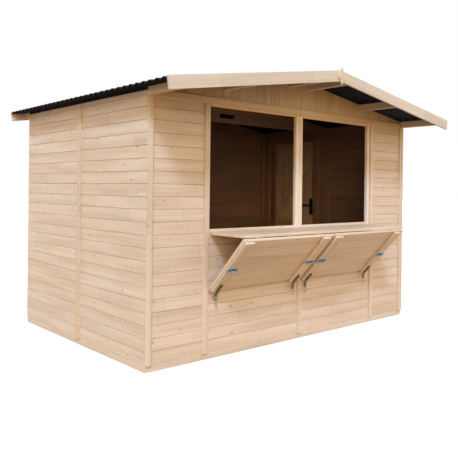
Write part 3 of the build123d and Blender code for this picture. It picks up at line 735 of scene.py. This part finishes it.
low, high = corners("front_gable")
wall_top, ridge_under = low[2], float(high[2])
for node, out in (("front_gable", -1.0), ("back_gable", 1.0)):
    low, high = corners(node)
    reach = high[0]
    edges = np.append(GABLE_PITCH * np.arange(int(reach / GABLE_PITCH) + 1), reach)
    wide = np.diff(edges)[:, None]
    face = high[1] - THICK if out > 0 else low[1] + THICK
    starts = edges[:-1, None] * (1, 0, 0) + (0, face, wall_top)
    starts = np.concatenate((starts, starts * (-1, 1, 1)))
    ups = np.concatenate((wide * (1, 0, 0), wide * (-1, 0, 0)))
    tall = ridge_under - wall_top - SLOPE * np.tile(edges[:-1], 2)
    cut = -SLOPE * np.tile(wide[:, 0], 2)
    runs = tall[:, None] * (0, 0, 1)
    make_boards("boards_" + node, starts, runs, ups, (0, out * THICK, 0), wood, (node,), cut=cut)

# %% [markdown]
# ## Corrugated sheets
# Bitumen sheet is pressed into waves. Its height is half a wave's rise times one minus the cosine
# of the way along the roof, so it starts in a trough. Real sheets lap over one another; here one
# long sheet covers each slope, because a lap of thin sheet hardly shows. Each point carries how
# near it is to a crest, and a red-brown highlight is painted there.

# %% Bitumen finish
# The second colour is the painted red-brown highlight on the crests.
BITUMEN_BLACK, BITUMEN_HIGHLIGHT = (0.0025, 0.0015, 0.002), (0.060, 0.016, 0.019)


def bitumen(name, even=0.0):
    """Near-black felt-like sheet with a painted red-brown highlight where the crest attribute, or
    even, is high."""
    finish, tree, shader = new_finish(name)
    place = own_place(tree)
    cloud = noise(tree, place, scale=9.0, detail=4.0)
    speck = noise(tree, place, scale=420.0, detail=2.0)
    crest = add_node(tree, "ShaderNodeAttribute", attribute_name="crest").outputs["Fac"]
    crest = sum_up(tree, "MAXIMUM", crest, even)
    patchy = ramp(tree, cloud, gain=0.8, offset=0.6)
    # Painted highlight on the crests, in patches.
    painted_highlight = sum_up(tree, "MULTIPLY", crest, patchy, clamp=True)
    colour = blend_colour(tree, painted_highlight, BITUMEN_BLACK, BITUMEN_HIGHLIGHT)
    tree.links.new(colour, shader.inputs["Base Color"])
    tree.links.new(ramp(tree, speck, gain=0.2, offset=0.5), shader.inputs["Roughness"])
    shader.inputs["Specular IOR Level"].default_value = 0.06
    add_bump(tree, shader, speck, strength=0.5, distance=0.0008)
    return finish


sheet_finish = bitumen("corrugated_bitumen")
# The ridge cap carries half the painted highlight all over.
cap_finish = bitumen("ridge_bitumen", even=0.5)

# %% Measures of the roof
WAVE_LONG, WAVE_HIGH = 0.078, 0.023
SKIN = 0.0026

slope_sin, slope_cos = np.sin(TILT), np.cos(TILT)
sheet_low, sheet_high = corners("roof_sheet_right")
ridge_x = sheet_low[0]
waves = round((sheet_high[1] - sheet_low[1]) / WAVE_LONG)
pitch = (sheet_high[1] - sheet_low[1]) / waves
sheet_long = (sheet_high[0] - WAVE_HIGH * slope_sin - ridge_x) / slope_cos
print("waves", waves, "pitch", round(pitch * 1000, 1), "mm, sheet", round(sheet_long, 3), "m")

# %% Roof sheets
STEPS_DOWN, STEPS_A_WAVE = 8, 16


def corrugated(name, side):
    """Grid of (down the slope, along the roof). Height over the roof plane is the rise times
    (1 - cos(2 pi along / pitch)) / 2, on a lower and an upper skin joined round the rim."""
    down = sheet_long * np.linspace(0, 1, STEPS_DOWN + 1)
    along = np.linspace(0, waves, waves * STEPS_A_WAVE + 1)
    crest = (1 - np.cos(2 * np.pi * along)) / 2
    grid_d, grid_a = np.meshgrid(down, along * pitch, indexing="ij")
    x = ridge_x + grid_d * slope_cos
    z = ridge_under - SLOPE * ridge_x - grid_d * slope_sin
    skins = []
    for over in (0.0, SKIN):
        height = (WAVE_HIGH - SKIN) * crest + over
        skin_x, skin_z = side * (x + height * slope_sin), z + height * slope_cos
        skins.append(np.stack((skin_x, sheet_low[1] + grid_a, skin_z), axis=2).reshape(-1, 3))

    number = np.arange(grid_a.size).reshape(grid_a.shape)
    quad = (number[:-1, :-1], number[1:, :-1], number[1:, 1:], number[:-1, 1:])
    quad = np.stack(quad, axis=2).reshape(-1, 4)
    rim = (number[0, :], number[1:, -1], number[-1, -2::-1], number[-2:0:-1, 0])
    rim = np.concatenate(rim)
    following = np.roll(rim, -1)
    edge = np.stack((rim, following, following + number.size, rim + number.size), axis=1)
    faces = np.concatenate((quad[:, ::-1], quad + number.size, edge[:, ::-1]))
    if side < 0:
        faces = faces[:, ::-1]
    crests = np.concatenate((np.zeros(number.size), np.tile(crest, len(down))))
    points = np.concatenate(skins)
    return make_piece(name, points, faces, sheet_finish, smooth=True, extra={"crest": crests})


for side, word in ((1, "right"), (-1, "left")):
    piece = corrugated("sheets_" + word, side)
    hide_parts("roof_sheet_" + word)

# %% [markdown]
# ## Finishes of the model pieces
# Purlins, barge boards, braces and fittings keep the model's own meshes and only get a finish.
# Their grain follows one axis, and a barge board's is turned by the roof's tilt. Zinc plating is a
# metal whose colour and roughness drift a little.

# %% Metal finish
DULLEST = 0.8


def metal(name, colour, rough):
    """Metal with a cloudy tone, from DULLEST of the colour to all of it."""
    finish, tree, shader = new_finish(name)
    shader.inputs["Metallic"].default_value = 1.0
    cloud = noise(tree, own_place(tree), scale=60.0, detail=3.0)
    dull = tuple(DULLEST * part for part in colour)
    tree.links.new(blend_colour(tree, cloud, dull, colour), shader.inputs["Base Color"])
    tree.links.new(ramp(tree, cloud, gain=0.2, offset=rough), shader.inputs["Roughness"])
    return finish


yellow_zinc = metal("yellow_zinc", (0.62, 0.50, 0.28), rough=0.3)
blue_zinc = metal("blue_zinc", (0.55, 0.58, 0.60), rough=0.3)
bolt_zinc = metal("bolt_zinc", (0.25, 0.36, 0.41), rough=0.35)
dark_zinc = metal("toggle_zinc", (0.20, 0.15, 0.065), rough=0.4)
bright_zinc = metal("bright_zinc", (0.33, 0.32, 0.29), rough=0.25)
black_steel = metal("black_steel", (0.03, 0.03, 0.03), rough=0.45)

# %% Finishes of the model pieces
BARGE = {"pale": (0.64, 0.535, 0.43), "deep": (0.51, 0.385, 0.27), "knots": 0.6}

barge_right = spruce("spruce_barge_right", "X", -TILT, **BARGE)
barge_left = spruce("spruce_barge_left", "X", TILT, **BARGE)
finishes = (
    (wood_x, ("middle_truss",)),
    (wood_y, ("eave_purlins", "middle_purlins", "ridge_purlins")),
    (wood_z, ("apex_plates",)),
    (wood_brace, ("door_braces",)),
    (barge_left, ("barge_boards_left",)),
    (barge_right, ("barge_boards_right",)),
    (cap_finish, ("ridge_cap",)),
    (sheet_finish, ("eave_seals",)),
    (yellow_zinc, ("hatch_hinges",)),
    (dark_zinc, ("toggle_latches",)),
    (bolt_zinc, ("barrel_bolts",)),
    (blue_zinc, ("door_hinge_plates", "door_hinge_straps", "door_keeper")),
    (black_steel, ("door_handle_plates", "door_levers")),
)
for finish, names in finishes:
    for node in names:
        slots = nodes[node].data.materials
        slots.clear()
        slots.append(finish)
print("model pieces finished", sum(len(names) for _, names in finishes))

# %% [markdown]
# ## Small parts
# Screw heads, roof nails and wires are too small to model one by one. One dome and one bent wire
# are worked out as arrays and repeated at a table of places, so each kind is a single mesh.

# %% Domes and wires
DOME_RISE = np.radians((0.0, 0.0, 40.0, 72.0))
DOME_SINK = 0.0005
NEAR_UPRIGHT = 0.9


def circle(sides):
    """Cosine and sine of the way round, for each corner of a ring."""
    turn = 2 * np.pi * np.arange(sides) / sides
    return np.cos(turn), np.sin(turn)


def domes(name, centres, normal, material, radius, height, sides=10):
    """Low domes: for each ring, the radius falls as a cosine and the height rises as a sine. The
    first ring is sunk a little, so that no gap shows under it."""
    centres = np.atleast_2d(np.asarray(centres, float))
    normal = np.broadcast_to(np.asarray(normal, float), centres.shape)
    normal = normal / np.linalg.norm(normal, axis=1)[:, None]
    upright = np.abs(normal[:, 2:]) > NEAR_UPRIGHT
    u = np.cross(np.where(upright, (1.0, 0.0, 0.0), (0.0, 0.0, 1.0)), normal)
    u /= np.linalg.norm(u, axis=1)[:, None]
    v = np.cross(normal, u)
    lift = height * np.sin(DOME_RISE)
    lift[0] = -DOME_SINK
    flat_u, flat_v = (radius * np.cos(DOME_RISE)[:, None] * part for part in circle(sides))
    points = (
        centres[:, None, None, :]
        + flat_u[None, :, :, None] * u[:, None, None, :]
        + flat_v[None, :, :, None] * v[:, None, None, :]
        + lift[None, :, None, None] * normal[:, None, None, :]
    )
    one = tube_faces(len(DOME_RISE), sides)
    faces = []
    for k in range(len(centres)):
        faces += moved_on(one, len(DOME_RISE) * sides * k)
    make_piece(name, points.reshape(-1, 3), faces, material)


def wires(name, paths, radius, material, sides=6):
    """Round wires along tables of points: a ring of points stands square to the path at each."""
    points, faces = [], []
    cosine, sine = (part[None, :, None] for part in circle(sides))
    for path in paths:
        along = np.gradient(path, axis=0)
        along /= np.linalg.norm(along, axis=1)[:, None]
        side = np.cross(along, (0.0, 1.0, 0.0))
        side /= np.linalg.norm(side, axis=1)[:, None]
        over = np.cross(along, side)
        spokes = cosine * side[:, None, :] + sine * over[:, None, :]
        faces += moved_on(tube_faces(len(path), sides), sum(map(len, points)))
        points.append((path[:, None, :] + radius * spokes).reshape(-1, 3))
    make_piece(name, np.concatenate(points), faces, material, smooth=True)

# %% [markdown]
# ## Door stops
# A stop closes the gap round the leaf, just behind it; without it daylight draws a line there. One
# runs over the door and one stands on each side of it. All three reach a little past the gap.

# %% Door stops
STOP_GAP, STOP_THICK = 0.005, 0.018
STOP_PAST = 0.030
STOP_LAP, TOP_STOP_LAP = 0.003, 0.012
STOP_FOOT = 0.06

low, high = corners("door_leaf")
back = low[0] - STOP_GAP - STOP_THICK
head = high[2] - TOP_STOP_LAP
starts = [
    (back, low[1] - STOP_PAST, head),
    (back, low[1] - STOP_PAST, STOP_FOOT),
    (back, high[1] - STOP_LAP, STOP_FOOT),
]
upright, side = (0, 0, head - STOP_FOOT), (0, STOP_PAST + STOP_LAP, 0)
runs = [(0, high[1] - low[1] + 2 * STOP_PAST, 0), upright, upright]
ups = [(0, 0, STOP_PAST), side, side]
out = (STOP_THICK, 0, 0)
make_boards("door_stops", starts, runs, ups, out, wood_plain, slot=0.0, both=True)

# %% [markdown]
# ## Toggle bails, hooks and bolt knobs
# A toggle latch pulls a bent wire, the bail, over a hook. The bail hangs from the foot of the
# cleat as a narrow U, and a barrel bolt has a round knob. The model has the latches and bolts;
# these thin parts are placed on the cleats by the flap's own directions.

# %% Toggle bails, hooks and bolt knobs
BAIL_RADIUS, BAIL_HALF, BAIL_LONG, BAIL_STEPS = 0.0022, 0.009, 0.088, 7
HOOK_LONG, HOOK_WIDE, HOOK_THICK = 0.042, 0.020, 0.006

cleat_low, cleat_high = cleats[0]
foot = np.array((0.0, cleat_high[1], cleat_low[2] + CLEAT_THICK * lean_sin))
middles = [(low[0] + high[0]) / 2 for low, high in cleats]


def on_cleat(x, up, out=0.0):
    """Point up the lean from a cleat's foot, and out from its face."""
    return foot + (x, 0, 0) + up * flap_up + (CLEAT_THICK + out) * flap_out


bend = np.radians(np.linspace(180, 360, BAIL_STEPS))
arc = (BAIL_HALF * np.cos(bend), 0 * bend, BAIL_HALF * np.sin(bend) - BAIL_LONG)
bail = np.vstack(((-BAIL_HALF, 0, 0), np.stack(arc, axis=1), (BAIL_HALF, 0, 0)))
paths = [bail + on_cleat(x, up=-0.019, out=0.008) for x in middles]
wires("toggle_bails", paths, BAIL_RADIUS, bright_zinc)
starts = [on_cleat(x - HOOK_WIDE / 2, up=-0.030, out=0.004) for x in middles]
make_boards(
    "toggle_hooks", starts, (0, 0, -HOOK_LONG), (HOOK_WIDE, 0, 0), (0, -HOOK_THICK, 0),
    dark_zinc, bevel=0.001, slot=0.0, both=True,
)
knobs = [on_cleat(x, up=0.246, out=0.0125) for x in middles]
domes("bolt_knobs", knobs, flap_out, bolt_zinc, radius=0.0055, height=0.012)

# %% [markdown]
# ## Screws
# A batten is screwed through its middle line every 36 cm, and a cleat in two rows. Only the heads
# show. A batten on an end wall is told by its x, which lies past the room.

# %% Screws
SCREW_FOOT, SCREW_TOP, SCREW_STEP = 0.06, 0.03, 0.36
CLEAT_ROWS, CLEAT_HEIGHTS = (-0.03, 0.03), (0.13, 0.32, 0.44)

screws, facing = [], []
for node, wall in (("front_battens", FRONT), ("rear_battens", BACK)):
    for low, high in solid_boxes(node):
        x = (low[0] + high[0]) / 2
        out = np.array(wall, float)
        if wall == BACK and abs(x) > ROOM_HALF[0]:
            out = np.array((np.sign(x), 0, 0))
        place = np.where(out > 0, high, np.where(out < 0, low, (low + high) / 2))
        heights = np.arange(low[2] + SCREW_FOOT, high[2] - SCREW_TOP, SCREW_STEP)
        screws += [(place[0], place[1], z) for z in heights]
        facing += [out] * len(heights)
domes("batten_screws", screws, facing, yellow_zinc, radius=0.0032, height=0.0008, sides=8)
screws = [on_cleat(x + dx, up) for x in middles for dx in CLEAT_ROWS for up in CLEAT_HEIGHTS]
domes("cleat_screws", screws, flap_out, yellow_zinc, radius=0.003, height=0.0007, sides=8)

# %% [markdown]
# ## Roof nails
# Nails with bitumen caps go through every fourth crest, over the middle and the eave purlins. The
# ridge cap hides the nails of the ridge purlins, so these are left out.

# %% Roof nails
NAIL_LINES = (0.8425, 1.53)
FIRST_CREST, CREST_STEP = 2, 4

crests = sheet_low[1] + pitch * (np.arange(FIRST_CREST, waves, CREST_STEP) + 0.5)
side, x, y = (grid.ravel() for grid in np.meshgrid((-1.0, 1.0), NAIL_LINES, crests, indexing="ij"))
z = ridge_under - SLOPE * x + WAVE_HIGH * slope_cos
nails = np.stack((side * (x + WAVE_HIGH * slope_sin), y, z), axis=1)
facing = np.stack((side * slope_sin, 0 * side, np.full(len(side), slope_cos)), axis=1)
domes("roof_nails", nails, facing, sheet_finish, radius=0.011, height=0.006)

# %% [markdown]
# ## Floor and light
# A pale floor runs out to the horizon. Seen directly it is white. For light that bounces it is a
# dim warm glow, as a sunlit yard gives, and black under the stall, so the room stays dark. The sky
# is soft; a cool lamp stands high to the front left, with a fairly narrow disc so that the
# overhang's shade keeps an edge, and a broad warm one stands low.

# %% Floor
FLOOR_HALF = 60.0
WALL_HALF = (1.555, 1.005)
FLOOR_GREY, FLOOR_GLOW = (0.5, 0.5, 0.5, 1), 0.55
YARD_WARM, YARD_GLOW = (1.0, 0.66, 0.38, 1), 0.48


def seen_directly(tree):
    """1 for a ray from the eye, off a mirror or through glass, and 0 for light that bounces."""
    rays = add_node(tree, "ShaderNodeLightPath").outputs
    seen = sum_up(tree, "MAXIMUM", rays["Is Camera Ray"], rays["Is Glossy Ray"])
    return sum_up(tree, "MAXIMUM", seen, rays["Is Transmission Ray"])


finish, tree, shader = new_finish("floor_white")
tree.nodes.remove(shader)
beside = sum_up(tree, "SUBTRACT", 1.0, between_walls(tree, WALL_HALF))
yard = add_node(tree, "ShaderNodeEmission", Color=YARD_WARM)
tree.links.new(sum_up(tree, "MULTIPLY", beside, YARD_GLOW), yard.inputs["Strength"])
plain = add_node(tree, "ShaderNodeBsdfDiffuse", Color=FLOOR_GREY)
glow = add_node(tree, "ShaderNodeEmission", Color=(1, 1, 1, 1))
tree.links.new(sum_up(tree, "MULTIPLY", beside, FLOOR_GLOW), glow.inputs["Strength"])
white = add_node(tree, "ShaderNodeAddShader")
choose = add_node(tree, "ShaderNodeMixShader")
for source, slot in (
    (plain.outputs[0], white.inputs[0]),
    (glow.outputs[0], white.inputs[1]),
    (seen_directly(tree), choose.inputs[0]),
    (yard.outputs[0], choose.inputs[1]),
    (white.outputs[0], choose.inputs[2]),
    (choose.outputs[0], tree.nodes["Material Output"].inputs["Surface"]),
):
    tree.links.new(source, slot)

mesh = bpy.data.meshes.new("floor")
signs = np.array(((-1, -1, 0), (1, -1, 0), (1, 1, 0), (-1, 1, 0)))
mesh.from_pydata((FLOOR_HALF * signs).tolist(), [], [(0, 1, 2, 3)])
mesh.materials.append(finish)
floor = bpy.data.objects.new("floor", mesh)
bpy.context.scene.collection.objects.link(floor)
print("floor", 2 * FLOOR_HALF, "m wide")

# %% Sky and lamps
SKY_WHITE, SKY_LIGHT = 1.0, 0.97

world = bpy.data.worlds.new("sky")
bpy.context.scene.world = world
world.use_nodes = True
tree = world.node_tree
sky = tree.nodes["Background"]
sky.inputs["Color"].default_value = (1, 1, 1, 1)
strength = ramp(tree, seen_directly(tree), gain=SKY_WHITE - SKY_LIGHT, offset=SKY_LIGHT)
tree.links.new(strength, sky.inputs["Strength"])

for name, place, power, colour, disc in (
    ("lamp_high", (-1.0, -1.0, 1.5), 3.0, (0.50, 0.69, 1.0), 12),
    ("lamp_low", (-0.7, -1.0, 0.25), 0.95, (1.0, 0.70, 0.28), 40),
):
    lamp = bpy.data.lights.new(name, "SUN")
    lamp.energy = power
    lamp.color = colour
    lamp.angle = np.radians(disc)
    holder = bpy.data.objects.new(name, lamp)
    bpy.context.scene.collection.objects.link(holder)
    holder.rotation_euler = Vector(place).to_track_quat("Z", "Y").to_euler()
    print(name, "disc", disc, "degrees")

bpy.context.scene.view_settings.view_transform = "Standard"
